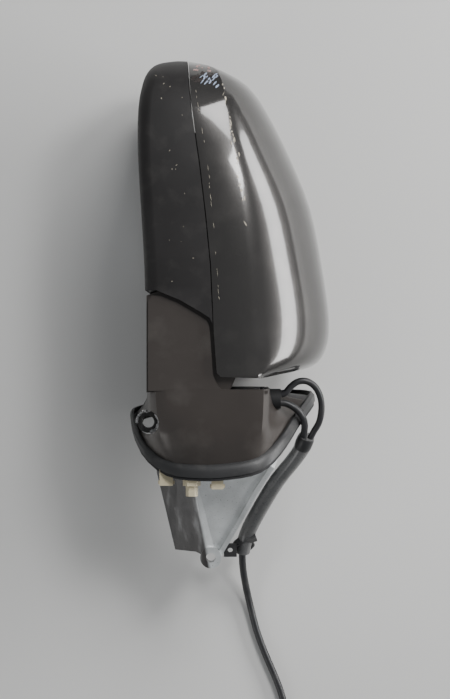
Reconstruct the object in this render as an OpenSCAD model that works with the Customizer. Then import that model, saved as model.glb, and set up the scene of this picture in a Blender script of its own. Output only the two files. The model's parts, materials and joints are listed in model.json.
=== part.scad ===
// Car door mirror: a folding head on a foot, with its die-cast bracket and its cable.
// +X is forward, +Y is outboard and +Z is up. The part lies on the plane Z = 0.

/* [Head] */
// Half the height of the head at its inner end
head_half_h = 64; // [58:1:66]
// Wall of the painted cap and of the rear housing
shell_wall = 2.5; // [2:0.1:3]
// Gap between the cap and the housing at the parting line
parting_gap = 0.6; // [0.4:0.1:1]

/* [Glass] */
// Thickness of the mirror glass
glass_t = 2.2; // [1.8:0.1:3]
// Gap between the glass and the edge of its opening
glass_gap = 2.5; // [2:0.1:4]
// Thickness of the plate that carries the glass
carrier_t = 2.6; // [2:0.1:3.5]
// Distance from the glass centre to each adjuster screw
jack_arm = 28; // [26:0.5:30]
// Radius of the ball on each adjuster screw
jack_ball_r = 3; // [2.5:0.1:3.5]

/* [Fold joint] */
// Outer radius of the hollow pivot tube
tube_r = 7; // [6.5:0.1:7.5]
// Wall of the pivot tube
tube_wall = 2; // [1.5:0.1:2.5]
// Radial running clearance of the bush on the tube
run_fit = 0.05; // [0.03:0.01:0.08]
// Radius of the round end of the foot that the head turns about
drum_r = 44; // [42:0.5:44.5]
// Wire of the fold spring
spring_wire = 3.2; // [2.8:0.1:3.6]

/* [Bracket] */
// Thickness of the bracket's webs
web_t = 3.2; // [2.6:0.1:4]
// Radius of the bolt hole in the eye at the end of the leg
bolt_hole_r = 3.3; // [3:0.1:4]
// Length of the eye
eye_len = 16; // [12:1:20]

/* [Foot] */
// Wall of the foot's covers
foot_wall = 2.6; // [2:0.1:3]
// Width of the rim band
rim_w = 6; // [5:0.5:7]

/* [Cable] */
// Radius of the cable
cable_r = 2.5; // [2.2:0.1:2.5]
// Radius of lead A
lead_a_r = 2.35; // [2.2:0.05:2.6]
// Radius of lead B
lead_b_r = 2.25; // [2:0.05:2.4]
// Radius of the sleeve over both leads
sleeve_r = 5.6; // [5.2:0.1:5.6]

/* [Hidden] */
$fn = 48;
SMALL = 0.01;
FAR = 400;
CLEAR = 0.3;

// ---- The head's outer form -------------------------------------------------------------
// One row per station along Y: [y, rear x, crease x, front x, half height]
HEAD_STATIONS = [
    [-56, -57, 19, 20, head_half_h], [-44, -57, 18.5, 26, head_half_h],
    [-36, -57, 18, 55, head_half_h], [-24, -57, 17, 65.5, head_half_h],
    [-4, -57, 13, 68, head_half_h], [31, -57.5, 11, 63.5, head_half_h],
    [73, -60, 7, 55, head_half_h - 1], [107, -62, 1.5, 41.5, head_half_h - 4],
    [138, -62, -3, 26, head_half_h - 11], [157, -59, -6, 12.5, head_half_h - 20],
    [167, -54.5, -12, -5, head_half_h - 31], [172, -48.5, -25, -21, head_half_h - 43],
    [174.2, -40, -33, -31, head_half_h - 54]];
HEAD_MID = head_half_h;
HEAD_TIP = HEAD_STATIONS[len(HEAD_STATIONS) - 1][0];
STATION_STEPS = 3;
CORNER_R = 9;
// Parting line on plan, from the inner end to the tip
PARTING = [[-9.5, -60], [-11.8, 3], [-13.1, 32.5], [-16.4, 66], [-20.3, 99], [-26.4, 142], [-28.8, 172], [-29.5, 190]];
// Seam between head and foot on plan: the edge of the head's skin round the foot's tongue
SEAM = [[-100, 16], [-50, 16], [-46, 14.4], [-33.6, 9.3], [-19.5, 1], [-14, -2.6],
    [-11.6, -7.3], [-10.4, -24], [-9.3, -39], [-6.5, -41.8], [20.7, -42.6], [48, -37.8],
    [62, -33], [100, -20]];
TONGUE_INSET = 2.4;

function spline(a, b, c, d, t) =
    0.5 * ((2 * b) + (c - a) * t + (2 * a - 5 * b + 4 * c - d) * t * t
        + (3 * b - a - 3 * c + d) * t * t * t);
// Rows of a table made denser by a smooth curve through them
function refine(rows, steps) = let (n = len(rows)) [
    for (i = [0:n - 2], k = [0:steps - 1])
        spline(rows[max(i - 1, 0)], rows[i], rows[i + 1], rows[min(i + 2, n - 1)], k / steps),
    rows[n - 1]];
function head_rows() = refine(HEAD_STATIONS, STATION_STEPS);

// Upper half of a section, rear middle to front middle, drawn inset by `skin`
function section_half(row, skin) =
    let (
        rear = row[1] + skin,
        front = max(row[3] - skin, rear + 4),
        crease = min(max(row[2], rear + 2), front - 1.5),
        high = max(min(row[4], head_half_h) - skin, 2),
        corner = min(CORNER_R, high * 0.6, (crease - rear) * 0.6),
        soft = 24,
        wide = (front - crease) / (1 - cos(90 - soft)),
        tall = high / sin(90 - soft))
    concat(
        [[rear, 0], [rear, (high - corner) / 2]],
        [for (a = [0:22.5:90]) [rear + corner * (1 - cos(a)), high - corner * (1 - sin(a))]],
        [[(rear + corner + crease) / 2, high]],
        [for (k = [0:7]) let (a = (90 - soft) * (1 - k / 8))
            [front - wide * (1 - cos(a)), tall * sin(a)]],
        [[front, 0]]);
function section(row, skin, y) =
    let (half = section_half(row, skin), n = len(half)) concat(
        [for (p = half) [p[0], y, HEAD_MID + p[1]]],
        [for (i = [n - 2:-1:1]) [half[i][0], y, HEAD_MID - half[i][1]]]);

// Closed skin through rings of equal length
module skin_of(rings) {
    n = len(rings[0]);
    m = len(rings);
    polyhedron(
        points = [for (r = rings) each r],
        faces = concat(
            [[for (j = [0:n - 1]) j]],
            [for (i = [0:m - 2], j = [0:n - 1])
                each [[i * n + j, (i + 1) * n + j, (i + 1) * n + (j + 1) % n],
                    [i * n + j, (i + 1) * n + (j + 1) % n, i * n + (j + 1) % n]]],
            [[for (j = [n - 1:-1:0]) (m - 1) * n + j]]));
}
// The head's solid form, inset by `skin` all round
module head_form(skin) {
    skin_of([for (row = head_rows()) section(row, skin, row[0] - 1.2 * skin * pow(max(row[0], 0) / HEAD_TIP, 8))]);
}

// ---- Regions of the plan ---------------------------------------------------------------
module above_seam() {
    translate([0, 0, -8]) linear_extrude(2 * HEAD_MID + 16)
        polygon(concat(SEAM, [[100, FAR], [-100, FAR]]));
}
module behind_parting(gap) {
    translate([0, 0, -5]) linear_extrude(2 * HEAD_MID + 10)
        polygon(concat([for (p = PARTING) [p[0] - gap, p[1]]], [[-29.5, FAR], [-FAR, FAR], [-FAR, -60]]));
}
// Turn a thing drawn along Z so that it runs along +X from the origin
module along_x() { rotate([0, 90, 0]) children(); }
module along_y() { rotate([-90, 0, 0]) children(); }

// ---- Glass, its plate and its opening --------------------------------------------------
GLASS_X = -55;
GLASS_MID = [88, HEAD_MID];
// Corner circles of the opening: [y, distance from the middle height, radius]
OPENING = [[33, 37.5, 14], [140, 24.5, 13]];
module glass_outline(gap) {
    hull() for (c = OPENING, s = [-1, 1]) translate([c[0], s * c[1]]) circle(c[2] - gap, $fn = 40);
}
// A plate of the glass's outline, from x0 and t thick
module glass_plate(x0, t, gap) {
    translate([x0, 0, HEAD_MID]) rotate([90, 0, 90]) linear_extrude(t) glass_outline(gap);
}
HEATER_T = 0.6;
HEATER_X = GLASS_X + glass_t;
CARRIER_X = HEATER_X + HEATER_T;
CARRIER_BACK = CARRIER_X + carrier_t;
SWIVEL = [CARRIER_BACK + 5.6, GLASS_MID[0], GLASS_MID[1]];
RING_OUT = 17;
RING_IN = 12;
RING_HALF = 2.5;
GIMBAL_PIN_R = 1.5;
BOSS_R = 9;
BALL_PLAY = 0.8;
CUP_R = jack_ball_r + BALL_PLAY + 1.8;
COVER_X = SWIVEL[0] + 8;
COVER_T = 2.5;
CASE_DEEP = 28;
CASE_R = 38;
CASE_WALL = 2.4;
FRAME_X = COVER_X + CASE_DEEP;
FRAME_T = 4;
SHANK_R = 1.8;
SHANK_LEN = 24;
module at_swivel(dx = 0, dy = 0, dz = 0) { translate(SWIVEL + [dx, dy, dz]) children(); }

module mirror_glass() { color("lightsteelblue") glass_plate(GLASS_X, glass_t, glass_gap); }
module heater_pad() { color("dimgray") glass_plate(HEATER_X, HEATER_T, glass_gap + 3); }
module glass_carrier() {
    color("black") difference() {
        union() {
            glass_plate(CARRIER_X, carrier_t, glass_gap + 1);
            translate([CARRIER_BACK - SMALL, SWIVEL[1], SWIVEL[2]]) along_x() cylinder(r = BOSS_R, h = 8);
            for (p = [[jack_arm, 0], [0, jack_arm]])
                translate([CARRIER_BACK - SMALL, SWIVEL[1] + p[0], SWIVEL[2] + p[1]])
                    along_x() cylinder(r = CUP_R, h = 7);
        }
        for (p = [[jack_arm, 0], [0, jack_arm]])
            translate([CARRIER_BACK, SWIVEL[1] + p[0], SWIVEL[2] + p[1]])
                along_x() cylinder(r = jack_ball_r + BALL_PLAY, h = 10);
        at_swivel(0, -BOSS_R - 1) along_y() cylinder(r = GIMBAL_PIN_R + run_fit, h = 2 * BOSS_R + 2);
    }
}
module gimbal_ring() {
    color("white") union() {
        at_swivel(-RING_HALF) along_x() difference() {
            cylinder(r = RING_OUT, h = 2 * RING_HALF);
            translate([0, 0, -1]) cylinder(r = RING_IN, h = 2 * RING_HALF + 2);
        }
        for (s = [-1, 1]) {
            at_swivel(0, 0, s * (RING_OUT + 1.5)) cylinder(r = GIMBAL_PIN_R, h = 6, center = true);
            at_swivel(0, s * (RING_IN - 2)) along_y() cylinder(r = GIMBAL_PIN_R, h = 6, center = true);
        }
    }
}
EAR_HALF = 2;
module actuator_cover() {
    color("dimgray") difference() {
        union() {
            translate([COVER_X, SWIVEL[1], SWIVEL[2]]) along_x() cylinder(r = CASE_R, h = COVER_T);
            for (s = [-1, 1]) {
                translate([SWIVEL[0], SWIVEL[1] - EAR_HALF, SWIVEL[2] + s * 19.6 - 1.6])
                    cube([COVER_X - SWIVEL[0] + 1, 2 * EAR_HALF, 3.2]);
                at_swivel(0, 0, s * 19.6) cylinder(r = EAR_HALF, h = 3.2, center = true);
            }
        }
        at_swivel(0, 0, -24) cylinder(r = GIMBAL_PIN_R + run_fit, h = 48);
        for (p = [[jack_arm, 0], [0, jack_arm]])
            translate([COVER_X - 1, SWIVEL[1] + p[0], SWIVEL[2] + p[1]])
                along_x() cylinder(r = SHANK_R + 1, h = COVER_T + 2);
    }
}
module actuator_case() {
    color("black") difference() {
        translate([COVER_X + COVER_T, SWIVEL[1], SWIVEL[2]])
            along_x() cylinder(r = CASE_R, h = CASE_DEEP - COVER_T);
        translate([COVER_X + COVER_T - 1, SWIVEL[1], SWIVEL[2]])
            along_x() cylinder(r = CASE_R - CASE_WALL, h = CASE_DEEP - COVER_T - CASE_WALL + 1);
    }
}
// A jack screw: ball, plain shank and threaded end
module jack_screw(dy, dz) {
    color("whitesmoke") at_swivel(0, dy, dz) {
        along_x() rotate_extrude() polygon(concat(
            [[0, -jack_ball_r]],
            [for (a = [-75:15:45]) [jack_ball_r * cos(a), jack_ball_r * sin(a)]],
            [[SHANK_R, jack_ball_r * 0.8], [SHANK_R, 12]],
            [for (k = [0:4], q = [[0, 0.5], [0.7, 1], [0.7, 1.4], [0, 1.9]]) [SHANK_R + q[0], 12 + 2 * k + q[1]]],
            [[SHANK_R, SHANK_LEN], [0, SHANK_LEN]]));
    }
}
module jack_pan() { jack_screw(jack_arm, 0); }
module jack_tilt() { jack_screw(0, jack_arm); }
MOTOR_R = 7;
MOTOR_LEN = 24;
// A small motor with its shaft and worm, resting on the case's back wall
module motor(y, z) {
    back = FRAME_X - CASE_WALL;
    color("silver") translate([back - MOTOR_R, y, z]) {
        cylinder(r = MOTOR_R, h = MOTOR_LEN);
        translate([0, 0, MOTOR_LEN - SMALL]) cylinder(r = 1, h = 3);
        translate([0, 0, MOTOR_LEN + 2]) cylinder(r = 2.2, h = 5);
    }
}
module motor_pan() { motor(SWIVEL[1] + 10, SWIVEL[2] - 30); }
module motor_tilt() { motor(SWIVEL[1] - 18, SWIVEL[2] - 12); }

// ---- The frame inside the head, and the fold joint --------------------------------------
PIVOT = [-38.5, -28];
PIVOT_SEAT_Z = 34;
STOP_Z = 40;
RING_Z = STOP_Z + 4;
RING_H = 12;
HUB_R = 13.5;
BUSH_WALL = 1.5;
SPRING_Z = RING_Z + RING_H;
SPRING_COILS = 5;
SPRING_H = 30;
SPRING_R = tube_r + 1.6 + spring_wire / 2;
TUBE_TOP = SPRING_Z + SPRING_H + 6;
SWEEP_GAP = 0.7;
WALL_IN = 45.2;
WALL_OUT = WALL_IN + 2.4;
ARM_HALF = 8;
LID_Z = 2 * HEAD_MID - shell_wall - 3.4;
module at_pivot(z) { translate([PIVOT[0], PIVOT[1], z]) children(); }

module pivot_tube() {
    color("silver") at_pivot(PIVOT_SEAT_Z - 8) difference() {
        cylinder(r = tube_r, h = TUBE_TOP - PIVOT_SEAT_Z + 8);
        translate([0, 0, -1]) cylinder(r = tube_r - tube_wall, h = TUBE_TOP);
    }
}
// Steel ring with the lug that stops the head at its working place
module stop_ring() {
    color("gray") difference() {
        union() {
            at_pivot(PIVOT_SEAT_Z) cylinder(r = HUB_R, h = STOP_Z - PIVOT_SEAT_Z + 3.6);
        }
        at_pivot(PIVOT_SEAT_Z - 1) cylinder(r = tube_r, h = 20);
    }
}
module frame_bush() {
    color("ivory") at_pivot(RING_Z) difference() {
        cylinder(r = tube_r + run_fit + BUSH_WALL, h = RING_H);
        translate([0, 0, -1]) cylinder(r = tube_r + run_fit, h = RING_H + 2);
    }
}
ARM_TURN = 14;
ARM_OUT = 52;
// Outline of the frame's plate: [y, height above the middle]
FRAME_EDGE = [for (q = [[14, 12], [66, 10], [106, 15], [138, 23], [154, 34]]) [q[0], head_half_h - q[1]]];
FRAME_PLATE = concat(FRAME_EDGE, [for (i = [4:-1:0]) [FRAME_EDGE[i][0], -FRAME_EDGE[i][1]]]);
module head_frame() {
    color("silver") difference() {
        union() {
            at_pivot(RING_Z) cylinder(r = HUB_R, h = RING_H);
            at_pivot(RING_Z + 0.6) rotate(ARM_TURN) translate([9.5, -ARM_HALF, 0]) cube([ARM_OUT - 9.5, 2 * ARM_HALF, RING_H - 1.2]);
            translate([FRAME_X - 2, -22, RING_Z + 1.2]) cube([16, 50, RING_H - 2.4]);
            translate([FRAME_X, 0, HEAD_MID]) rotate([90, 0, 90]) linear_extrude(FRAME_T) polygon(FRAME_PLATE);
        }
        at_pivot(RING_Z - 1) cylinder(r = tube_r + run_fit + BUSH_WALL, h = RING_H + 2);
        for (y = [30, 132], s = [-1, 1])
            translate([FRAME_X - 1, y, HEAD_MID + s * (head_half_h - (y < 60 ? 30 : 38)) - 7]) cube([FRAME_T + 2, 16, 14]);
        for (p = FRAME_SCREWS) translate([FRAME_X - 1, p[0], HEAD_MID + p[1]])
            along_x() cylinder(r = 1.9, h = FRAME_T + 2);
    }
}
FRAME_SCREWS = [for (q = [[60, 18], [124, 26]], s = [1, -1]) [q[0], s * (head_half_h - q[1])]];
// Helix of round wire with flat-lying end turns
module fold_spring() {
    color("gray") at_pivot(SPRING_Z + spring_wire / 2) spring_body();
}
SPRING_SIDES = 8;
SPRING_STEPS = 14;
module spring_body() {
    rise = SPRING_H - spring_wire;
    turns = SPRING_COILS;
    n = turns * SPRING_STEPS;
    skin_of([for (i = [0:n]) let (a = 360 * i / SPRING_STEPS, z = rise * i / n)
        [for (j = [0:SPRING_SIDES - 1]) let (b = -360 * j / SPRING_SIDES)
            [(SPRING_R + spring_wire / 2 * cos(b)) * cos(a),
            (SPRING_R + spring_wire / 2 * cos(b)) * sin(a), z + spring_wire / 2 * sin(b)]]]);
}
module spring_washer() {
    color("lightgray") at_pivot(SPRING_Z + SPRING_H) difference() {
        cylinder(r = SPRING_R + 2.4, h = 2);
        translate([0, 0, -1]) cylinder(r = tube_r, h = 4);
    }
}
module spring_clip() {
    color("dimgray") at_pivot(SPRING_Z + SPRING_H + 2) difference() {
        cylinder(r = tube_r + 3, h = 1.6);
        translate([0, 0, -1]) cylinder(r = tube_r, h = 4);
        for (a = [0:60:300]) rotate(a) translate([tube_r, 0, 1]) cube([2, 2, 4], center = true);
    }
}

// ---- The head's covers -----------------------------------------------------------------
module housing_shell() {
    color([0.05, 0.05, 0.055]) resize([0, 0, 0]) difference() {
        intersection() {
            head_form(0);
            above_seam();
            behind_parting(parting_gap);
        }
        head_form(shell_wall);
        glass_plate(GLASS_X - 20, 32, 0);
    }
}
module painted_cap() {
    color([0.2, 0.2, 0.22]) resize([0, 0, 0]) difference() {
        intersection() {
            head_form(0);
            above_seam();
        }
        behind_parting(0);
        head_form(shell_wall);
    }
}
// Black wall that closes the head's inner end and wraps round the foot's drum
module head_end_cover() {
    inset = shell_wall + CLEAR;
    color([0.06, 0.06, 0.06]) resize([0, 0, 0]) difference() {
        intersection() {
            head_form(inset);
            union() {
                at_pivot(0) difference() {
                    cylinder(r = WALL_OUT, h = 2 * HEAD_MID, $fn = 96);
                    translate([0, 0, -1]) cylinder(r = WALL_IN, h = 2 * HEAD_MID + 2, $fn = 96);
                    translate([-100, -200 - 13, -1]) cube([300, 200, 2 * HEAD_MID + 2]);
                }
                linear_extrude(2 * HEAD_MID) polygon([[4.8, -42], [20.7, -42.4], [48, -37.6], [62, -33],
                    [62, -30.4], [48, -35], [20.7, -39.8], [6, -39.4]]);
            }
        }
        translate([-100, -100, -1]) cube([46, 114, 2 * HEAD_MID + 2]);
        at_pivot(RING_Z - 1) rotate(ARM_TURN) translate([20, -ARM_HALF - 1, 0])
            cube([ARM_OUT, 2 * ARM_HALF + 2, RING_H + 2]);
        translate([FRAME_X - 2.6, -22.6, RING_Z + 0.6]) cube([17.2, 51.2, RING_H - 1.2]);
    }
}
// Screws that hold the actuator's frame to the head frame
module frame_screws() {
    color("silver") for (p = FRAME_SCREWS) translate([FRAME_X, p[0], HEAD_MID + p[1]]) along_x() {
        translate([0, 0, -9]) cylinder(r = 1.9, h = 9 + FRAME_T);
        translate([0, 0, FRAME_T]) cylinder(r = 3.6, h = 2.4);
    }
}
module actuator_screws() {
    color("silver") for (a = [45:90:315])
        translate([COVER_X, SWIVEL[1] + 30 * cos(a), SWIVEL[2] + 30 * sin(a)])
            along_x() translate([0, 0, -1.6]) cylinder(r = 2.6, h = 1.6);
}
// Spring clips that hold the painted cap on the frame
module cap_clips() {
    color("whitesmoke") for (p = [[42, 20], [42, -20], [104, 16], [104, -16]])
        translate([FRAME_X + FRAME_T, p[0] - 4, HEAD_MID + p[1] - 3]) {
            cube([9, 8, 2]);
            translate([0, 0, 4]) cube([9, 8, 2]);
            cube([2, 8, 6]);
        }
}

// ---- The foot --------------------------------------------------------------------------
// Across the door skin: its middle, and the directions along it and out of it on plan
DOOR_MID = [-5, -62];
DOOR_TURN = 5.5;
DOOR_MID_Z = 59;
SHOULDER = 43;
NECK_Y = -50;
NECK_TOP = 124.8;
NECK_LOW = 3.2;
// Key points round the foot: [neck x, neck z, rim distance along the door, rim z]
FOOT_KEYS = [
    [-50, 124, -41, 108], [-25, 124.8, -20, 113.5], [0, 124.8, 0, 114.5], [22, 124, 20, 112],
    [26, 108, 34, 101], [26, 86, 47, 82], [26, 58, 60, 56], [26, 25, 53, 22],
    [23, 4.5, 34, 5.5], [-16, 3.2, -8, 4.2], [-50, 4.5, -44, 9], [-56, 30, -58, 32],
    [-56, 64, -61, 64], [-56, 102, -56, 91]];
RIM_BAND = 3.6;
HOLLOW_EASE = 0.07;
RIM_DEEP = 3.5;
SPLIT_Z = HEAD_MID;
SPLIT_GAP = 0.3;

// How far the door's shoulder leans inboard at a height
function door_lean(z) = z > DOOR_MID_Z
    ? -SHOULDER * pow((z - DOOR_MID_Z) / (118 - DOOR_MID_Z), 1.3)
    : 3 * (DOOR_MID_Z - z) / DOOR_MID_Z;
function on_door(along, z, out = 0) = let (off = door_lean(z) + out) [
    DOOR_MID[0] + along * cos(DOOR_TURN) - off * sin(DOOR_TURN),
    DOOR_MID[1] + along * sin(DOOR_TURN) + off * cos(DOOR_TURN), z];
// Points of a closed outline made denser by a smooth curve
function refine_loop(rows, steps) = let (n = len(rows)) [
    for (i = [0:n - 1], k = [0:steps - 1])
        spline(rows[(i + n - 1) % n], rows[i], rows[(i + 1) % n], rows[(i + 2) % n], k / steps)];
function foot_keys() = refine_loop(FOOT_KEYS, 3);
FOOT_RINGS = 8;
function toward(p, mid, by) = p + by * (mid - p) / norm(mid - p);
// One ring of the foot's skin at t = 0 (neck) to 1 (rim), inset by `skin`
function foot_ring(t, skin) = [for (k = foot_keys())
    let (
        nk = toward([k[0], k[1]], [-15, 64], skin),
        rk = toward([k[2], k[3]], [-3, 60], skin),
        a = [nk[0], NECK_Y, min(max(nk[1], NECK_LOW + skin), NECK_TOP - skin)],
        c = on_door(rk[0], rk[1]),
        b = [a[0] * 0.85 + c[0] * 0.15, a[1] + 0.6 * (c[1] - a[1]), a[2] * 0.9 + c[2] * 0.1])
    a * (1 - t) * (1 - t) + b * 2 * t * (1 - t) + c * t * t];
module foot_form(skin) {
    skin_of([for (i = [FOOT_RINGS:-1:0]) foot_ring(i / FOOT_RINGS, skin)]);
}
module foot_hollow() {
    rings = [for (i = [FOOT_RINGS:-1:0]) foot_ring(i / FOOT_RINGS, foot_wall + HOLLOW_EASE)];
    skin_of(concat([[for (p = rings[0]) p - [0, 6, 0]]], rings, [[for (p = rings[FOOT_RINGS]) p + [0, 1, 0]]]));
}
module tongue_plan() {
    polygon([[-55, NECK_Y - 1], [-55, 9], [-52, 12.4], [-46.8, 12.2], [-34.4, 7], [-20.6, -1.2],
        [-15.8, -4.4], [-14.2, -8], [-12.9, -24], [-11.8, -40], [-9.4, -46], [-6, NECK_Y - 1]]);
}
module drum_plan(r) {
    intersection() {
        translate(PIVOT) circle(r, $fn = 96);
        translate([-56, NECK_Y - 2]) square([80, 80]);
    }
}
// Everything of the foot that both of its covers are cut from
module foot_skin() {
    union() {
        difference() {
            foot_form(0);
            foot_hollow();
        }
        translate([-5.3, NECK_Y - 3.05, 4.7]) cube([29.9, 2.4, 118.6]);
        for (low = [true, false]) mirror_z(low) {
            translate([0, 0, LID_Z - foot_wall - (low ? 0.2 : 0)]) linear_extrude(foot_wall) drum_plan(drum_r);
            translate([0, 0, LID_Z - (low ? 0.9 : 0.6)]) linear_extrude(low ? 3.4 : 3.2) tongue_plan();
        }
        translate([-55.6, NECK_Y - 1.4, 2 * HEAD_MID - LID_Z + 1]) cube([foot_wall, 62, 2 * LID_Z - 2 * HEAD_MID - 2]);
    }
}
module mirror_z(flip) {
    if (flip) translate([0, 0, 2 * HEAD_MID]) mirror([0, 0, 1]) children();
    else children();
}
LUG = [-56, -72.5];
LUG_R = 7.4;
GLAND_Y = -57;
GLAND_Z = 88;
GLAND_R = 7.2;
module foot_openings() {
    translate([LUG[0], LUG[1], 76]) cylinder(r = LUG_R + 0.8, h = FAR);
    translate([15, GLAND_Y, GLAND_Z]) along_x() cylinder(r = GLAND_R, h = 40);
}
module foot_cover() {
    color([0.25, 0.23, 0.22]) resize([0, 0, 0]) difference() {
        foot_skin();
        translate([-FAR, -FAR, -FAR]) cube([2 * FAR, 2 * FAR, FAR + SPLIT_Z]);
        foot_openings();
    }
}
UNDER_SCREWS = [[-45, -46], [-19, -46]];
module foot_undercover() {
    color([0.1, 0.1, 0.1]) resize([0, 0, 0]) difference() {
        foot_skin();
        translate([-FAR, -FAR, SPLIT_Z - SPLIT_GAP]) cube([2 * FAR, 2 * FAR, FAR]);
        for (p = UNDER_SCREWS) translate([p[0], p[1], -1]) {
            cylinder(r = 2.2, h = 20);
            cylinder(r = 4, h = 6.6);
        }
    }
}
module undercover_screws() {
    color("silver") for (p = UNDER_SCREWS) translate([p[0], p[1], 3.6]) {
        cylinder(r = 3.6, h = 2);
        cylinder(r = 1.9, h = 21);
    }
}
// Band swept round the foot's edge: `out` is its reach beyond the contour, `deep` its depth
module rim_sweep(inner, outer, front, back, lip, step) {
    keys = foot_keys();
    n = len(keys);
    ring = [for (i = [0:n - 1])
        let (
            here = [keys[i][2], keys[i][3]],
            next = keys[(i + 1) % n],
            prev = keys[(i + n - 1) % n],
            run = [next[2] - prev[2], next[3] - prev[3]],
            side = [-run[1], run[0]] / norm(run))
        [for (q = [[inner, step], [lip, step], [lip, front], [outer * 0.6, front],
            [outer, front - 0.3 * (front - back)], [outer, back], [inner, back]])
            on_door(here[0] + side[0] * q[0], here[1] + side[1] * q[0], q[1])]];
    m = len(ring[0]);
    polyhedron(
        points = [for (r = ring) each r],
        faces = [for (i = [0:n - 1], j = [0:m - 1])
            each [[((i + 1) % n) * m + (j + 1) % m, i * m + (j + 1) % m, i * m + j],
                [((i + 1) % n) * m + j, ((i + 1) % n) * m + (j + 1) % m, i * m + j]]]);
}
module base_rim() { color([0.07, 0.07, 0.07]) rim_sweep(RIM_BAND - rim_w, RIM_BAND, 3, -RIM_DEEP, 0.8, -0.1); }
module door_seal() {
    color([0.04, 0.04, 0.04]) rim_sweep(RIM_BAND - rim_w + 1, RIM_BAND - 1, -RIM_DEEP - 0.05, -RIM_DEEP - 3,
        0, -RIM_DEEP - 0.3);
}
// Ivory snap clips on the rim's inboard side: [distance along, height, length]
CLIPS = [[-42, 105, 9], [-8, 111, 8], [52, 60, 6]];
CLIP_DEPTH = 12;
module rim_clips() {
    color("ivory") for (c = CLIPS) translate(on_door(c[0], c[1], -RIM_DEEP - 2.5)) {
        translate([-c[2] / 2, -CLIP_DEPTH, -2.2]) cube([c[2], CLIP_DEPTH, 4.4]);
        translate([-c[2] / 2 - 1, -CLIP_DEPTH + 1, -1]) cube([c[2] + 2, 2.4, 2]);
    }
}
PEG_AT = [-25, 108];
module clip_peg() {
    color("ivory") translate(on_door(PEG_AT[0], PEG_AT[1], -RIM_DEEP - 2.5)) rotate([90, 0, 0]) {
        cylinder(r = 6, h = 11, $fn = 6);
        translate([0, 0, 11 - SMALL]) cylinder(r = 4, h = 7, $fn = 6);
    }
}

// ---- The die-cast bracket --------------------------------------------------------------
EYE = [-13.6, -166.9];
EYE_R = 7.3;
LOOM_SLOT = [[-26.2, -55], [-32, -50.6]];
EYE_Z = 52;
// Outline points of the leg's left web, right web and the flange's top edge
LEFT_WEB = [[-34, -66, 96], [-46, -66, 86], [-52, -92, 78], [-50.5, -108, 74], [-38.3, -162, 58],
    [-24, -163, 64], [-15.5, -167, 66]];
RIGHT_WEB = [[-35.2, -65.4, 95.6], [-16.4, -166, 65.8], [-9.5, -166, 62], [6.6, -141, 68],
    [28.6, -103.8, 76], [38, -76, 62], [38, -66, 62]];
FLANGE = [[40, -70], [28.6, -103.8], [16.9, -122], [6.6, -141], [-9, -167.5]];
FLANGE_TOP = [64, 78, 75, 70, 64];
FLANGE_LOW = [34, 36, 38, 40, 46];
// Plate under an outline that may bend along its diagonals, `t` thick downward
module web(pts, t) {
    n = len(pts);
    polyhedron(
        points = concat(pts, [for (p = pts) p - [0, 0, t]]),
        faces = concat(
            [for (i = [1:n - 2]) [0, i + 1, i]],
            [for (i = [1:n - 2]) [n, n + i, n + i + 1]],
            [for (i = [0:n - 1]) each [[i, (i + 1) % n, n + (i + 1) % n], [i, n + (i + 1) % n, n + i]]]));
}
module flange_wall() {
    for (i = [0:len(FLANGE) - 2]) {
        a = FLANGE[i];
        b = FLANGE[i + 1];
        side = web_t / 2 * [b[1] - a[1], a[0] - b[0]] / norm(b - a);
        past = 0.6 * (b - a) / norm(b - a);
        corners = [a + side, b + side + past, b - side + past, a - side];
        polyhedron(
            points = [
                for (k = [0:3]) [corners[k][0], corners[k][1], (k == 0 || k == 3) ? FLANGE_LOW[i] : FLANGE_LOW[i + 1]],
                for (k = [0:3]) [corners[k][0], corners[k][1], (k == 0 || k == 3) ? FLANGE_TOP[i] : FLANGE_TOP[i + 1]]],
            faces = [[1, 2, 3], [0, 1, 3], [6, 5, 4], [7, 6, 4], [5, 1, 0], [4, 5, 0], [6, 2, 1], [5, 6, 1],
                [7, 3, 2], [6, 7, 2], [4, 0, 3], [7, 4, 3]]);
    }
}
SEAT_LOW = 22;
module bracket_casting() {
    color([0.75, 0.77, 0.8]) difference() {
        union() {
            web(LEFT_WEB, web_t);
            web(RIGHT_WEB, web_t);
            flange_wall();
            translate([EYE[0], EYE[1], EYE_Z]) cylinder(r = EYE_R, h = eye_len);
            translate([-48, -70, 20]) cube([86, 4, 42]);
            translate([-36, -70, 58]) cube([12, 4, 36]);
            at_pivot(SEAT_LOW) cylinder(r = HUB_R, h = PIVOT_SEAT_Z - SEAT_LOW);
            translate([-51, -70, SEAT_LOW]) cube([38, 41, PIVOT_SEAT_Z - SEAT_LOW]);
            translate([LUG[0], LUG[1], 80]) cylinder(r = LUG_R, h = 12);
            translate([LUG[0] + 2, LUG[1] - 3, 80]) cube([24, 8, 5]);
        }
        translate([EYE[0], EYE[1], EYE_Z - 10]) cylinder(r = bolt_hole_r, h = eye_len + 20);
        translate([LUG[0], LUG[1], 70]) cylinder(r = 4.2, h = 40);
        at_pivot(SEAT_LOW - 1) cylinder(r = tube_r - tube_wall, h = 20);
        at_pivot(PIVOT_SEAT_Z - 8) cylinder(r = tube_r, h = 20);
        for (p = UNDER_SCREWS) translate([p[0], p[1], SEAT_LOW - 5]) cylinder(r = 1.9, h = 9);
        hull() for (p = LOOM_SLOT) translate([p[0], p[1], SEAT_LOW - 1]) cylinder(r = 4.6, h = 14);
    }
}

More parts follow.
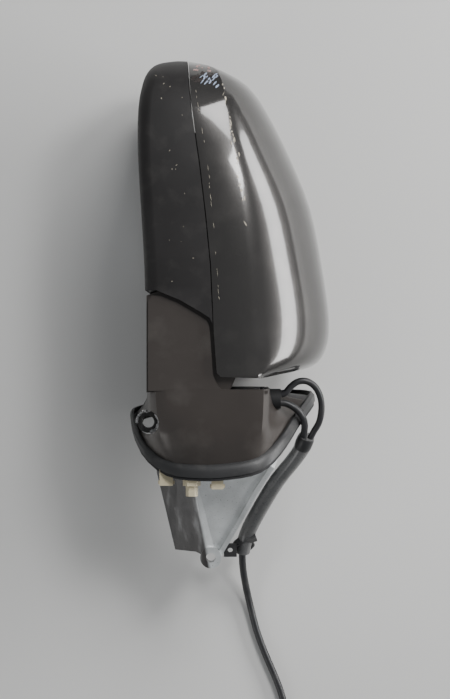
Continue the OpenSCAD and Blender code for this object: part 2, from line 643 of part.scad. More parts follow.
// ---- Cable -----------------------------------------------------------------------------
GLAND_OUT = 34;
LEAD_A = [[34, -59.7, 88], [38.4, -60.4, 88], [44, -63.5, 87.6], [48.8, -69, 86], [50.6, -76, 80], [49.4, -85.2, 72.8]];
LEAD_B = [[34, -54.3, 88], [37.6, -52.6, 88], [41, -48.6, 88], [46, -45.3, 88], [52, -45.2, 87.5],
    [57.4, -48.8, 86.5], [61, -55.6, 85], [62, -64, 83], [60.5, -73, 80], [56.8, -80, 76], [54.1, -85.4, 73]];
SLEEVE = [[52.2, -83, 73.6], [49, -91.5, 68.5], [43, -100.5, 63], [36, -109.5, 57.6], [29.5, -119, 51.6],
    [20.5, -135, 42], [13.5, -149, 34], [9.4, -161, 27.6], [8.4, -166, 25]];
CABLE = [[8.4, -166, 25], [8.6, -174, 19.8], [9.6, -184, 12.2], [11.6, -195, 6], [14.2, -206.5, 3.1],
    [18.6, -224, 2.6], [24.4, -240, 2.6], [30.4, -254, 2.6], [35.6, -267, 2.6], [39, -280, 2.6],
    [39.6, -292, 2.6], [38.8, -303, 2.6]];
COIL_AT = [66, -322];
COIL_IN = 22.2;
COIL_OUT = 32.8;
COIL_H = 10;
function unit(v) = v / norm(v);
// Round tube along a route of points
module tube(route, r, sides, steps) {
    pts = refine([for (p = route) p], steps);
    n = len(pts);
    skin_of([for (i = [0:n - 1])
        let (
            run = unit(pts[min(i + 1, n - 1)] - pts[max(i - 1, 0)]),
            side = unit(cross(run, abs(run[2]) > 0.9 ? [1, 0, 0] : [0, 0, 1])),
            up = cross(side, run))
        [for (j = [0:sides - 1]) let (a = -360 * j / sides) pts[i] + r * (cos(a) * side + sin(a) * up)]]);
}
module harness_gland() {
    color([0.05, 0.05, 0.05]) union() {
        translate([20, GLAND_Y, GLAND_Z]) along_x() cylinder(r = GLAND_R - 0.4, h = GLAND_OUT - 20);
        translate([20, GLAND_Y, GLAND_Z]) along_x() cylinder(r = GLAND_R + 1, h = 2);
    }
}
module lead_a() { color([0.05, 0.05, 0.05]) tube(LEAD_A, lead_a_r, 10, 2); }
module lead_b() { color([0.05, 0.05, 0.05]) tube(LEAD_B, lead_b_r, 10, 1); }
module cable_sleeve() { color([0.25, 0.25, 0.26]) tube(SLEEVE, sleeve_r, 10, 1); }
module cable() { color([0.09, 0.09, 0.1]) tube(CABLE, cable_r, 8, 2); }
TIE_AT = SLEEVE[len(SLEEVE) - 2];
// Strap round the sleeve, with its lock head
module sleeve_tie() {
    color([0.6, 0.6, 0.58]) translate(TIE_AT) rotate([58, 0, 18]) difference() {
        union() {
            cylinder(r = sleeve_r + 1.8, h = 5, center = true);
            translate([3, 4, -3]) cube([7, 6, 6]);
        }
        cylinder(r = sleeve_r + 0.2, h = 12, center = true);
    }
}
module sleeve_clip() {
    color([0.05, 0.05, 0.05]) translate(TIE_AT) difference() {
        translate([-14, -8, 2]) cube([9, 9, 7]);
        translate([-9.5, -3.5, 0]) cylinder(r = 1.8, h = 20);
    }
}
module cable_coil() {
    color([0.09, 0.09, 0.1]) translate([COIL_AT[0], COIL_AT[1], 0.1]) rotate_extrude()
        polygon([[COIL_IN, 2], [COIL_IN + 2, 0], [COIL_OUT - 2, 0], [COIL_OUT, 2],
            [COIL_OUT, COIL_H - 2], [COIL_OUT - 2, COIL_H], [COIL_IN + 2, COIL_H], [COIL_IN, COIL_H - 2]]);
}
module coil_tie() {
    color([0.05, 0.05, 0.05]) translate([COIL_AT[0] + (COIL_IN + COIL_OUT) / 2, COIL_AT[1], COIL_H / 2 + 0.2])
        rotate([90, 0, 0]) linear_extrude(4, center = true) difference() {
            square([COIL_OUT - COIL_IN + 2.4, COIL_H + 0.4], center = true);
            square([COIL_OUT - COIL_IN + 0.2, COIL_H - 1.6], center = true);
        }
}
CABLE_TAIL = [[79, -351.6, 7.2], [84, -352, 6.6], [90, -352, 6.2], [97.5, -352, 6.1]];
PLUG = [24, 15, 12];
PLUG_AT = [97, -352 - PLUG[1] / 2, 0.1];
module cable_tail() { color([0.09, 0.09, 0.1]) tube(CABLE_TAIL, cable_r, 8, 1); }
module plug_housing() {
    color([0.07, 0.07, 0.07]) translate(PLUG_AT) difference() {
        cube(PLUG);
        translate([PLUG[0] - 9, 1.5, 1.5]) cube([10, PLUG[1] - 3, PLUG[2] - 3]);
    }
}
module plug_lock() {
    color([0.5, 0.1, 0.08]) translate(PLUG_AT + [6, PLUG[1] / 2 - 2.5, PLUG[2]]) cube([14, 5, 1.6]);
}
module plug_terminals() {
    color("gold") translate(PLUG_AT + [PLUG[0] - 10, PLUG[1] / 2, PLUG[2] / 2])
        for (y = [-4.2:2.8:4.3], z = [-2, 2]) translate([0, y, z]) along_x() cylinder(r = 0.6, h = 7);
}
// Wires from the gland through the pivot tube to the adjuster
LOOM = [[22, -57, 88], [10, -57, 84], [-6, -58, 70], [-22, -58, 46], [-33, -50, 18], [-37.6, -38, 13],
    [-38.5, -28, 17], [-38.5, -28, 40], [-38.5, -28, 80], [-38.5, -28, 96]];
module inner_loom() { color([0.05, 0.05, 0.05]) tube(LOOM, 2.8, 8, 2); }

bracket_casting();
pivot_tube();
stop_ring();
foot_cover();
foot_undercover();
undercover_screws();
base_rim();
door_seal();
rim_clips();
clip_peg();
harness_gland();
inner_loom();
head_frame();
frame_bush();
fold_spring();
spring_washer();
spring_clip();
housing_shell();
painted_cap();
head_end_cover();
frame_screws();
cap_clips();
actuator_case();
actuator_cover();
motor_pan();
motor_tilt();
actuator_screws();
jack_pan();
jack_tilt();
gimbal_ring();
glass_carrier();
heater_pad();
mirror_glass();
lead_a();
lead_b();
cable_sleeve();
sleeve_tie();
sleeve_clip();
cable();
cable_coil();
coil_tie();
cable_tail();
plug_housing();
plug_lock();
plug_terminals();
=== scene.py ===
import json
import math
import random

import bpy
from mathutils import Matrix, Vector
from mathutils.bvhtree import BVHTree


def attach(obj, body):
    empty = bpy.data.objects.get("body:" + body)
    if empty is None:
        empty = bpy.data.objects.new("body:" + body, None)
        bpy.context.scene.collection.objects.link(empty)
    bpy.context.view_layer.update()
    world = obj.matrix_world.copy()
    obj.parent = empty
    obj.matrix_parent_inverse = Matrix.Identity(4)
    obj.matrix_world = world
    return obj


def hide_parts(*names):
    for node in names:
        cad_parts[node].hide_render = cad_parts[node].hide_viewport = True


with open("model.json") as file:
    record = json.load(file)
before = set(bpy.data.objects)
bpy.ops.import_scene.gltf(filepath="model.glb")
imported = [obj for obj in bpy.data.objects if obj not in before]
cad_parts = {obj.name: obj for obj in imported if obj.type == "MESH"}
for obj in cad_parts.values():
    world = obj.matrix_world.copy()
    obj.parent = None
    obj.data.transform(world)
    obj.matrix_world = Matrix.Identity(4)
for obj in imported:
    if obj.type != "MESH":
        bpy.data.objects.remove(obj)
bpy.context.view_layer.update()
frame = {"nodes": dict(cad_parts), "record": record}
NODES = frame["nodes"]
MM = 0.001


def mm(points):
    """Points given in millimetres, as vectors in metres."""
    return [Vector(p) * MM for p in points]


# ---- Camera ---------------------------------------------------------------
VIEW_HEIGHT = 0.4823    # what the picture's height covers at the object's middle
MIDDLE_Z = 0.064
CAMERA_UP = 1.6
camera_data = bpy.data.cameras.new("camera")
camera = bpy.data.objects.new("camera", camera_data)
bpy.context.scene.collection.objects.link(camera)
camera.location = (-0.0038, -0.0235, MIDDLE_Z + CAMERA_UP)
camera_data.sensor_fit = "VERTICAL"
camera_data.sensor_height = 36
camera_data.sensor_width = 36
camera_data.lens = 36 * CAMERA_UP / VIEW_HEIGHT
camera_data.clip_start = 0.05
camera_data.clip_end = 20
bpy.context.scene.camera = camera


# ---- Node helpers ---------------------------------------------------------
def ramp(tree, source, stops):
    """A colour ramp fed by source. Stops are (place, colour) pairs."""
    node = tree.nodes.new("ShaderNodeValToRGB")
    elements = node.color_ramp.elements
    while len(elements) < len(stops):
        elements.new(0.5)
    for element, (place, colour) in zip(elements, stops):
        element.position = place
        element.color = (*colour, 1)
    tree.links.new(source, node.inputs["Fac"])
    return node.outputs["Color"]


def levels(tree, source, low, high, start=0.3, end=0.7):
    """Source between start and end, as a number between low and high."""
    node = tree.nodes.new("ShaderNodeMapRange")
    for name, value in (("From Min", start), ("From Max", end), ("To Min", low), ("To Max", high)):
        node.inputs[name].default_value = value
    tree.links.new(source, node.inputs["Value"])
    return node.outputs["Result"]


def mix_colour(tree, share, first, second):
    """first where share is 0, second where it is 1."""
    node = tree.nodes.new("ShaderNodeMix")
    node.data_type = "RGBA"
    tree.links.new(share, node.inputs["Factor"])
    for socket, value in ((node.inputs[6], first), (node.inputs[7], second)):
        if isinstance(value, tuple):
            socket.default_value = (*value, 1)
        else:
            tree.links.new(value, socket)
    return node.outputs[2]


def shade(colour, factor):
    return tuple(min(1.0, c * factor) for c in colour)


def noise(tree, place, scale, detail=4.0, stretch=None):
    """Noise in the object's own space, with features about 1/scale metres across."""
    source = place
    if stretch:
        mapping = tree.nodes.new("ShaderNodeMapping")
        mapping.inputs["Scale"].default_value = stretch
        tree.links.new(place, mapping.inputs["Vector"])
        source = mapping.outputs["Vector"]
    node = tree.nodes.new("ShaderNodeTexNoise")
    node.inputs["Scale"].default_value = scale
    node.inputs["Detail"].default_value = detail
    tree.links.new(source, node.inputs["Vector"])
    return node.outputs["Fac"]


def material(name, colour, rough=(0.4, 0.5), metal=0.0, coat=0.0, coat_rough=0.1, variation=0.15,
             patch=35.0, grain=900.0, bump=0.15, depth=0.00015, stretch=None, dust=0.0, specular=0.5):
    """A surface of one stuff: its colour drifts in patches, its roughness varies with its grain, and its
    grain is a bump.
    dust is the share of a pale film, in broken patches."""
    made = bpy.data.materials.new(name)
    made.use_nodes = True
    tree = made.node_tree
    shader = tree.nodes["Principled BSDF"]
    place = tree.nodes.new("ShaderNodeTexCoord").outputs["Object"]
    drift = noise(tree, place, patch, 5.0, stretch)
    fine = noise(tree, place, grain, 6.0, stretch)
    base = ramp(tree, drift, [(0.3, shade(colour, 1 - variation)), (0.7, shade(colour, 1 + variation))])
    if dust:
        film = levels(tree, noise(tree, place, patch * 2.3, 9.0), 0, dust, 0.52, 0.68)
        base = mix_colour(tree, film, base, (0.36, 0.34, 0.31))
    tree.links.new(base, shader.inputs["Base Color"])
    tree.links.new(levels(tree, fine, rough[0], rough[1]), shader.inputs["Roughness"])
    relief = tree.nodes.new("ShaderNodeBump")
    relief.inputs["Strength"].default_value = bump
    relief.inputs["Distance"].default_value = depth
    tree.links.new(fine, relief.inputs["Height"])
    tree.links.new(relief.outputs["Normal"], shader.inputs["Normal"])
    shader.inputs["Metallic"].default_value = metal
    shader.inputs["Coat Weight"].default_value = coat
    shader.inputs["Coat Roughness"].default_value = coat_rough
    shader.inputs["Specular IOR Level"].default_value = specular
    return made


# ---- Materials, one for each slot of the record ---------------------------
STUFF = {
    "cap_paint": material("cap_paint", (0.050, 0.047, 0.045), (0.20, 0.28), metal=0.6, coat=1.0,
                          coat_rough=0.07, variation=0.10, patch=22, grain=2600, bump=0.05,
                          depth=0.00004, dust=0.04),
    "housing_plastic": material("housing_plastic", (0.017, 0.0155, 0.0155), (0.46, 0.58), variation=0.18,
                                grain=2400, bump=0.35, depth=0.00010, dust=0.025, specular=0.4),
    "foot_plastic": material("foot_plastic", (0.060, 0.051, 0.046), (0.30, 0.40), metal=0.3, coat=0.3,
                             coat_rough=0.35, variation=0.14, patch=18, grain=1800, bump=0.2, dust=0.07),
    "black_plastic": material("black_plastic", (0.022, 0.022, 0.023), (0.42, 0.55), grain=1700, bump=0.25),
    "rim_plastic": material("rim_plastic", (0.030, 0.030, 0.031), (0.34, 0.48), grain=1500, bump=0.3,
                            dust=0.05),
    "black_rubber": material("black_rubber", (0.014, 0.014, 0.015), (0.6, 0.75), grain=1300, bump=0.35),
    "cast_alloy": material("cast_alloy", (0.66, 0.68, 0.68), (0.26, 0.42), metal=0.5, variation=0.16,
                           patch=60, grain=1100, bump=0.4, depth=0.0002, dust=0.10),
    "steel": material("steel", (0.34, 0.34, 0.35), (0.25, 0.38), metal=1.0, grain=1400, bump=0.15),
    "spring_steel": material("spring_steel", (0.16, 0.16, 0.17), (0.28, 0.4), metal=1.0, grain=1500,
                             bump=0.15),
    "motor_steel": material("motor_steel", (0.45, 0.45, 0.46), (0.25, 0.36), metal=1.0, grain=1500, bump=0.1),
    "ivory_plastic": material("ivory_plastic", (0.62, 0.55, 0.38), (0.38, 0.5), variation=0.10, patch=120,
                              grain=1600, bump=0.2, dust=0.12),
    "white_plastic": material("white_plastic", (0.60, 0.59, 0.55), (0.4, 0.5), grain=1500, bump=0.15),
    "red_plastic": material("red_plastic", (0.32, 0.04, 0.03), (0.4, 0.5), grain=1500, bump=0.15),
    "cable_jacket": material("cable_jacket", (0.024, 0.024, 0.026), (0.33, 0.44), grain=1500, bump=0.2,
                             dust=0.05),
    "sleeve_vinyl": material("sleeve_vinyl", (0.10, 0.10, 0.10), (0.24, 0.38), coat=0.5, coat_rough=0.2,
                             patch=90, grain=900, bump=0.35, depth=0.0003, dust=0.08),
    "tie_nylon": material("tie_nylon", (0.020, 0.020, 0.021), (0.35, 0.45), grain=1500, bump=0.2),
    "heater_foil": material("heater_foil", (0.30, 0.30, 0.31), (0.35, 0.5), metal=0.8, grain=900, bump=0.3),
    "mirror_face": material("mirror_face", (0.75, 0.77, 0.80), (0.02, 0.05), metal=1.0, variation=0.02,
                            patch=12, grain=40, bump=0.01, depth=0.00002),
    "brass_pins": material("brass_pins", (0.58, 0.42, 0.16), (0.25, 0.35), metal=1.0, grain=1500, bump=0.1),
}


def paint_casting_shade():
    """Painted shade on the casting's rear web: a dark colour with paler painted reflection streaks along its
    length, beside the bare front web.
    """
    stuff = STUFF["cast_alloy"]
    tree = stuff.node_tree
    shader = tree.nodes["Principled BSDF"]
    place = tree.nodes.new("ShaderNodeTexCoord").outputs["Object"]
    bare = shader.inputs["Base Color"].links[0].from_socket
    split = tree.nodes.new("ShaderNodeSeparateXYZ")
    tree.links.new(place, split.inputs["Vector"])
    border = tree.nodes.new("ShaderNodeMath")
    border.operation = "MULTIPLY_ADD"
    border.inputs[1].default_value = 0.19
    tree.links.new(split.outputs["Y"], border.inputs[0])
    tree.links.new(split.outputs["X"], border.inputs[2])
    # share is 1 on the rear web, which takes the painted shade instead of the bare alloy colour.
    share = levels(tree, border.outputs[0], 1, 0, -0.0485, -0.0462)
    # The paler streaks in the painted shade are painted reflections.
    reflection_streaks = noise(tree, place, 160, 5, (1, 0.08, 1))
    painted_shade_colour = ramp(tree, reflection_streaks, [(0.35, (0.028, 0.026, 0.026)), (0.56, (0.060, 0.057, 0.055)),
                                 (0.72, (0.20, 0.20, 0.20))])
    tree.links.new(mix_colour(tree, share, bare, painted_shade_colour), shader.inputs["Base Color"])
    tree.links.new(levels(tree, share, 0.5, 0.1, 0, 1), shader.inputs["Metallic"])


paint_casting_shade()
SLOT_OF = {part["node"]: part["material_slot"] for part in frame["record"]["subparts"]}


# ---- Smooth shading of the CAD's own faces ---------------------------------
def soften_group(angle):
    """A modifier's nodes: doubled corners are merged, and edges flatter than angle are shaded smooth."""
    group = bpy.data.node_groups.new("soften_%d" % round(math.degrees(angle)), "GeometryNodeTree")
    group.interface.new_socket("Geometry", in_out="INPUT", socket_type="NodeSocketGeometry")
    group.interface.new_socket("Geometry", in_out="OUTPUT", socket_type="NodeSocketGeometry")
    start = group.nodes.new("NodeGroupInput")
    end = group.nodes.new("NodeGroupOutput")
    clear = group.nodes.new("GeometryNodeRemoveAttribute")
    clear.inputs["Name"].default_value = "custom_normal"
    merge = group.nodes.new("GeometryNodeMergeByDistance")
    merge.inputs["Distance"].default_value = 1e-6
    faces = group.nodes.new("GeometryNodeSetShadeSmooth")
    faces.domain = "FACE"
    faces.inputs["Shade Smooth"].default_value = True
    edges = group.nodes.new("GeometryNodeSetShadeSmooth")
    edges.domain = "EDGE"
    edges.inputs["Shade Smooth"].default_value = False
    turn = group.nodes.new("GeometryNodeInputMeshEdgeAngle")
    compare = group.nodes.new("FunctionNodeCompare")
    compare.data_type = "FLOAT"
    compare.operation = "GREATER_THAN"
    compare.inputs["B"].default_value = angle
    link = group.links.new
    link(start.outputs[0], clear.inputs["Geometry"])
    link(clear.outputs["Geometry"], merge.inputs["Geometry"])
    link(merge.outputs["Geometry"], faces.inputs["Geometry"])
    link(faces.outputs["Geometry"], edges.inputs["Geometry"])
    link(turn.outputs["Unsigned Angle"], compare.inputs["A"])
    link(compare.outputs["Result"], edges.inputs["Selection"])
    link(edges.outputs["Geometry"], end.inputs[0])
    return group


SOFT = soften_group(math.radians(32))
for name, node in NODES.items():
    node.data.materials.clear()
    node.data.materials.append(STUFF[SLOT_OF[name]])
    node.modifiers.new("soften", "NODES").node_group = SOFT


# ---- Pieces made of a swept round section ----------------------------------
def smooth_route(points, steps=6):
    """The points, with a Catmull-Rom curve through them."""
    ends = [points[0] * 2 - points[1], *points, points[-1] * 2 - points[-2]]
    route = []
    for i in range(1, len(ends) - 2):
        p0, p1, p2, p3 = ends[i - 1:i + 3]
        for step in range(steps):
            t = step / steps
            route.append(0.5 * (2 * p1 + (p2 - p0) * t + (2 * p0 - 5 * p1 + 4 * p2 - p3) * t * t
                                + (3 * p1 - p0 - 3 * p2 + p3) * t ** 3))
    route.append(points[-1].copy())
    return route


def cord_curve(name, route, radius, slot, body, radii=None):
    """A round cord along the route, as one open spline. radii makes it thicker or thinner along its way."""
    data = bpy.data.curves.new(name, "CURVE")
    data.dimensions = "3D"
    data.bevel_depth = radius
    data.bevel_resolution = 5
    data.use_fill_caps = True
    spline = data.splines.new("POLY")
    spline.points.add(len(route) - 1)
    for i, place in enumerate(route):
        spline.points[i].co = (*place, 1)
        spline.points[i].radius = radii(i / (len(route) - 1)) if radii else 1
    spline.use_smooth = True
    piece = bpy.data.objects.new(name, data)
    bpy.context.scene.collection.objects.link(piece)
    data.materials.append(STUFF[slot])
    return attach(piece, body)


# ---- Cords -----------------------------------------------------------------
LEAD_A = [[34, -59.7, 88], [38.4, -60.4, 88], [44, -63.5, 87.6], [48.8, -69, 86], [50.6, -76, 80],
          [49.4, -85.2, 72.8]]
LEAD_B = [[34, -54.3, 88], [37.6, -52.6, 88], [41, -48.6, 88], [46, -45.3, 88], [52, -45.2, 87.5],
          [57.4, -48.8, 86.5], [61, -55.6, 85], [62, -64, 83], [60.5, -73, 80], [56.8, -80, 76],
          [54.1, -85.4, 73]]
SLEEVE = [[52.2, -83, 73.6], [49, -91.5, 68.5], [43, -100.5, 63], [36, -109.5, 57.6], [29.5, -119, 51.6],
          [20.5, -135, 42], [13.5, -149, 34], [9.4, -161, 27.6], [8.4, -166, 25]]
CABLE = [[8.4, -166, 25], [8.6, -174, 19.8], [9.6, -184, 12.2], [11.6, -195, 6], [14.2, -206.5, 3.1],
         [18.6, -224, 2.6], [24.4, -240, 2.6], [30.4, -254, 2.6], [35.6, -267, 2.6], [39, -280, 2.6],
         [39.6, -292, 2.6], [38.8, -303, 2.6]]
CABLE_TAIL = [[79, -351.6, 7.2], [84, -352, 6.6], [90, -352, 6.2], [97.5, -352, 6.1]]
COIL_AT = (66, -322)
LEAD_A_R, LEAD_B_R, SLEEVE_R, CABLE_R = 2.35, 2.25, 5.6, 2.5
COIL_INNER, COIL_OUTER = 24.8, 30.3
LAYER_LOW, LAYER_HIGH = 2.6, 7.65


def eased(value, start, end):
    """0 before start, 1 after end, with a smooth way between them."""
    t = min(max((value - start) / (end - start), 0), 1)
    return t * t * (3 - 2 * t)


def coil_turns():
    """The coil's turns: outside on the floor, inside on the floor, inside on top, outside on top."""
    cx, cy = COIL_AT
    first = math.degrees(math.atan2(CABLE[-1][1] - cy, CABLE[-1][0] - cx))
    last = math.degrees(math.atan2(CABLE_TAIL[0][1] - cy, CABLE_TAIL[0][0] - cx)) + 4 * 360
    reach = math.dist(CABLE[-1][:2], COIL_AT)
    leave = math.dist(CABLE_TAIL[0][:2], COIL_AT)
    turns = []
    count = round((last - first) / 7.5)
    for i in range(1, count):
        a = first + (last - first) * i / count
        r = reach + (COIL_OUTER - reach) * eased(a, first, first + 50)
        r -= (COIL_OUTER - COIL_INNER) * eased(a, first + 325, first + 360)
        r += (COIL_OUTER - COIL_INNER) * eased(a, 1080, 1125)
        r += (leave - COIL_OUTER) * eased(a, last - 20, last)
        z = LAYER_LOW + (LAYER_HIGH - LAYER_LOW) * eased(a, 780, 825)
        z += (CABLE_TAIL[0][2] - LAYER_HIGH) * eased(a, last - 14, last)
        turns.append([cx + r * math.cos(math.radians(a)), cy + r * math.sin(math.radians(a)), z])
    return turns


def add_cord(name, route, radius, slot, body, nodes, **facts):
    piece = cord_curve(name, route, radius * MM, slot, body)
    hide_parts(*nodes)
    return piece


add_cord("lead_a_jacket", smooth_route(mm(LEAD_A)), LEAD_A_R, "cable_jacket", "foot", ["lead_a"],
         far_end="fitting", stiffness="medium", lay="hanging", with_pieces=[NODES["harness_gland"]])
COLLAR_PROUD = 0.5
collar = cord_curve("sleeve_collar", smooth_route(mm(SLEEVE[:2]), 8),
                    (SLEEVE_R + COLLAR_PROUD) * MM, "tie_nylon", "foot",
                    lambda share: 0.9 + 0.1 * math.sin(math.pi * share) ** 0.5)
add_cord("lead_b_jacket", smooth_route(mm(LEAD_B)), LEAD_B_R, "cable_jacket", "foot", ["lead_b"],
         far_end="fitting", stiffness="medium", lay="hanging", with_pieces=[collar])
add_cord("sleeve_skin", smooth_route(mm(SLEEVE)), SLEEVE_R, "sleeve_vinyl", "foot", ["cable_sleeve"],
         far_end="fitting", stiffness="stiff", lay="hanging",
         with_pieces=[NODES["sleeve_tie"], NODES["sleeve_clip"]])
add_cord("cable_jacket", smooth_route(mm(CABLE + coil_turns() + CABLE_TAIL), 2), CABLE_R, "cable_jacket",
         "foot", ["cable", "cable_coil", "cable_tail"], far_end="connector", stiffness="medium", lay="coiled",
         with_pieces=[NODES[n] for n in ("coil_tie", "plug_housing", "plug_lock", "plug_terminals")])


# ---- Wear, with painted shade and painted highlights at the tip --------------
def crease_x(y):
    """Where the cap's crease runs, in millimetres, at a distance y along the head."""
    return 12.7 - 0.025 * y - 0.00062 * y * y


def skin_of(node):
    mesh = NODES[node].data
    return BVHTree.FromPolygons([v.co for v in mesh.vertices], [p.vertices for p in mesh.polygons])


CHIP_CORNERS = 9
CHIP_ROOT = 0.3    # how far a chip reaches into the skin, in millimetres
STEEPEST = 4       # a chip whose corners differ more in height than this is left out


def flakes(name, node, body, stuff, spots, seed, height=0.09):
    """Thin raised chips lying on a node's upper skin.
    spots are (x, y, half width, half length, turn), in millimetres and radians.
    height is how far they rise."""
    draw = random.Random(seed)
    skin = skin_of(node)
    points, faces = [], []
    for x, y, wide, long, turn in spots:
        ring = []
        for k in range(CHIP_CORNERS):
            a = 2 * math.pi * k / CHIP_CORNERS
            size = draw.uniform(0.6, 1.1)
            u, v = size * wide * math.cos(a), size * long * math.sin(a)
            px = x + u * math.cos(turn) - v * math.sin(turn)
            py = y + u * math.sin(turn) + v * math.cos(turn)
            hit = skin.ray_cast(Vector((px, py, 400)) * MM, Vector((0, 0, -1)))[0]
            if hit:
                ring.append(hit)
        if len(ring) < CHIP_CORNERS or max(p.z for p in ring) - min(p.z for p in ring) > STEEPEST * MM:
            continue
        first = len(points)
        for rise in (height, -CHIP_ROOT):
            points += [p + Vector((0, 0, rise * MM)) for p in ring]
        faces.append([first + k for k in range(CHIP_CORNERS)])
        faces.append([first + 2 * CHIP_CORNERS - 1 - k for k in range(CHIP_CORNERS)])
        for k in range(CHIP_CORNERS):
            n = (k + 1) % CHIP_CORNERS
            faces.append([first + k, first + CHIP_CORNERS + k, first + CHIP_CORNERS + n, first + n])
    mesh = bpy.data.meshes.new(name)
    mesh.from_pydata(points, [], faces)
    mesh.materials.append(stuff)
    piece = bpy.data.objects.new(name, mesh)
    bpy.context.scene.collection.objects.link(piece)
    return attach(piece, body)


draw = random.Random(11)
primer = material("bare_primer", (0.50, 0.45, 0.36), (0.5, 0.7), patch=400, grain=2500, bump=0.3)
# Painted shade: a dark colour standing in for the hollow of the broken tip.
painted_hole_shade = material("dark_painted_hole_shade", (0.030, 0.022, 0.020), (0.6, 0.8), patch=300, grain=2200, bump=0.5)
# Painted highlight: a pale blue colour for light caught on the scraped paint at the tip.
scrape_highlight = material("scrape_highlight", (0.42, 0.50, 0.66), (0.3, 0.5), patch=500, grain=2500, bump=0.3)
pink = material("pink_filler", (0.46, 0.30, 0.28), (0.5, 0.7), patch=400, grain=2500, bump=0.3)
chips = []
for _ in range(34):
    y = draw.triangular(58, 163, 138)
    chips.append((crease_x(y) + draw.gauss(0.3, 0.7), y, draw.uniform(0.18, 0.55), draw.uniform(0.5, 2.3),
                  draw.gauss(0.12, 0.2)))
flakes("crease_chips", "painted_cap", "head", primer, chips, 3)
# Dark flakes at the broken tip: painted shade of its hollow.
flakes("tip_painted_hole_shade", "painted_cap", "head", painted_hole_shade,
       [(draw.uniform(-25, -9), draw.uniform(156, 166), draw.uniform(1.5, 3.2), draw.uniform(1.2, 3.0),
         draw.uniform(0, 3)) for _ in range(22)], 4, 0.06)
# Real scrapes at the tip, coloured as painted highlights.
flakes("tip_scrape_highlights", "painted_cap", "head", scrape_highlight,
       [(draw.uniform(-20, -8), draw.uniform(152, 162), draw.uniform(0.3, 0.7), draw.uniform(0.8, 2.4),
         draw.uniform(-0.9, -0.3)) for _ in range(16)], 5, 0.12)
flakes("tip_filler", "painted_cap", "head", pink,
       [(draw.uniform(-27, -8), draw.uniform(164, 169.5), draw.uniform(0.5, 1.3), draw.uniform(0.4, 1.0),
         draw.uniform(0, 3)) for _ in range(14)], 6, 0.11)
flakes("housing_nicks", "housing_shell", "head", primer,
       [(draw.uniform(-52, -24), draw.uniform(20, 168), draw.uniform(0.12, 0.3), draw.uniform(0.2, 0.8),
         draw.uniform(0, 3)) for _ in range(18)], 7, 0.05)
flakes("seam_rub", "painted_cap", "head", primer,
       [(-7.5 - 0.00048 * y * y + draw.gauss(0, 0.25) - 0.035 * y, y, 0.12, draw.uniform(0.5, 2.6), 0.13)
        for y in [draw.uniform(4, 150) for _ in range(20)]], 8, 0.04)


# ---- Torn lug at the rear of the foot ------------------------------------------
LUG_AT, LUG_TOP = (-56, -72.5), 92


def shards(name, body, stuff, pieces, seed):
    """Jagged upright splinters round the lug.
    pieces are (angle round the lug, distance, width, height), in degrees and millimetres."""
    draw = random.Random(seed)
    points, faces = [], []
    for angle, away, wide, tall in pieces:
        a = math.radians(angle)
        out = Vector((math.cos(a), math.sin(a), 0))
        side = Vector((-out.y, out.x, 0))
        foot = Vector((*LUG_AT, LUG_TOP - 2)) + out * away
        teeth = 5
        first = len(points)
        for depth in (0, draw.uniform(1.1, 1.8)):
            for k in range(teeth):
                across = side * wide * (k / (teeth - 1) - 0.5) + out * depth
                top = Vector((0, 0, tall * draw.uniform(0.45, 1)))
                points += [(foot + across) * MM, (foot + across * 0.85 + top + out * tall * 0.25) * MM]
        row = 2 * teeth
        for k in range(teeth - 1):
            p = first + 2 * k
            faces += [[p, p + 2, p + 3, p + 1], [p + row, p + row + 1, p + row + 3, p + row + 2],
                      [p + 1, p + 3, p + row + 3, p + row + 1], [p, p + row, p + row + 2, p + 2]]
        last = first + row - 2
        faces += [[first, first + 1, first + row + 1, first + row],
                  [last, last + row, last + row + 1, last + 1]]
    mesh = bpy.data.meshes.new(name)
    mesh.from_pydata(points, [], faces)
    mesh.materials.append(stuff)
    piece = bpy.data.objects.new(name, mesh)
    bpy.context.scene.collection.objects.link(piece)
    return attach(piece, body)


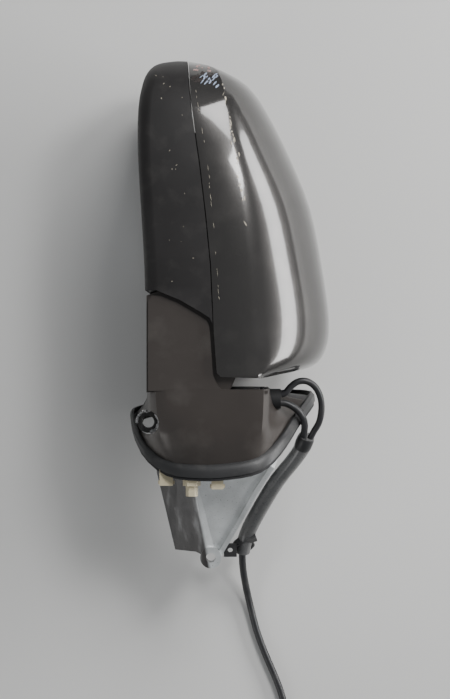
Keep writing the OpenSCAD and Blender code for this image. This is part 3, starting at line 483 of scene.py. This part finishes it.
torn = material("torn_metal", (0.78, 0.78, 0.78), (0.25, 0.45), metal=0.25, patch=300, grain=1500, bump=0.5)
shards("torn_lug", "foot", torn,
       [(100, 5.6, 6, 6.5), (140, 5.8, 5, 5.5), (25, 5.4, 6, 8.2), (-15, 5.4, 6, 9.2), (-60, 5.2, 5, 7.4),
        (172, 5.6, 4, 5)], 9)


# ---- Floor and light --------------------------------------------------------
def area_light(name, place, target, size, power, colour=(1, 1, 1)):
    data = bpy.data.lights.new(name, "AREA")
    data.shape = "RECTANGLE"
    data.size, data.size_y = size
    data.energy = power
    data.color = colour
    lamp = bpy.data.objects.new(name, data)
    bpy.context.scene.collection.objects.link(lamp)
    lamp.location = place
    lamp.rotation_euler = (Vector(target) - Vector(place)).to_track_quat("-Z", "Y").to_euler()
    return lamp


floor_data = bpy.data.meshes.new("floor")
FLOOR_HALF = 6
FLOOR_Z = -0.0006    # just clear of the part's underside
floor_data.from_pydata([(x, y, FLOOR_Z) for x, y in
                        ((-FLOOR_HALF, -FLOOR_HALF), (FLOOR_HALF, -FLOOR_HALF),
                         (FLOOR_HALF, FLOOR_HALF), (-FLOOR_HALF, FLOOR_HALF))], [], [(0, 1, 2, 3)])
floor = bpy.data.objects.new("floor", floor_data)
bpy.context.scene.collection.objects.link(floor)
floor_data.materials.append(material("floor", (0.72, 0.715, 0.70), (0.6, 0.7), variation=0.02, patch=3,
                                     grain=300, bump=0.05))
area_light("key", (1.1, 0.22, 0.42), (0.02, 0.02, 0.06), (1.1, 0.34), 15)
area_light("high_key", (0.7, 0.6, 1.2), (0.02, 0.02, 0.06), (0.3, 0.3), 7)
area_light("top", (0.55, 1.3, 1.3), (0, 0, 0.05), (0.7, 0.5), 14)
area_light("fill", (-1.3, -0.9, 0.9), (0, 0, 0.05), (0.8, 0.8), 5)
world = bpy.data.worlds.new("world")
world.use_nodes = True
world.node_tree.nodes["Background"].inputs["Color"].default_value = (0.80, 0.83, 0.86, 1)
world.node_tree.nodes["Background"].inputs["Strength"].default_value = 0.26
bpy.context.scene.world = world
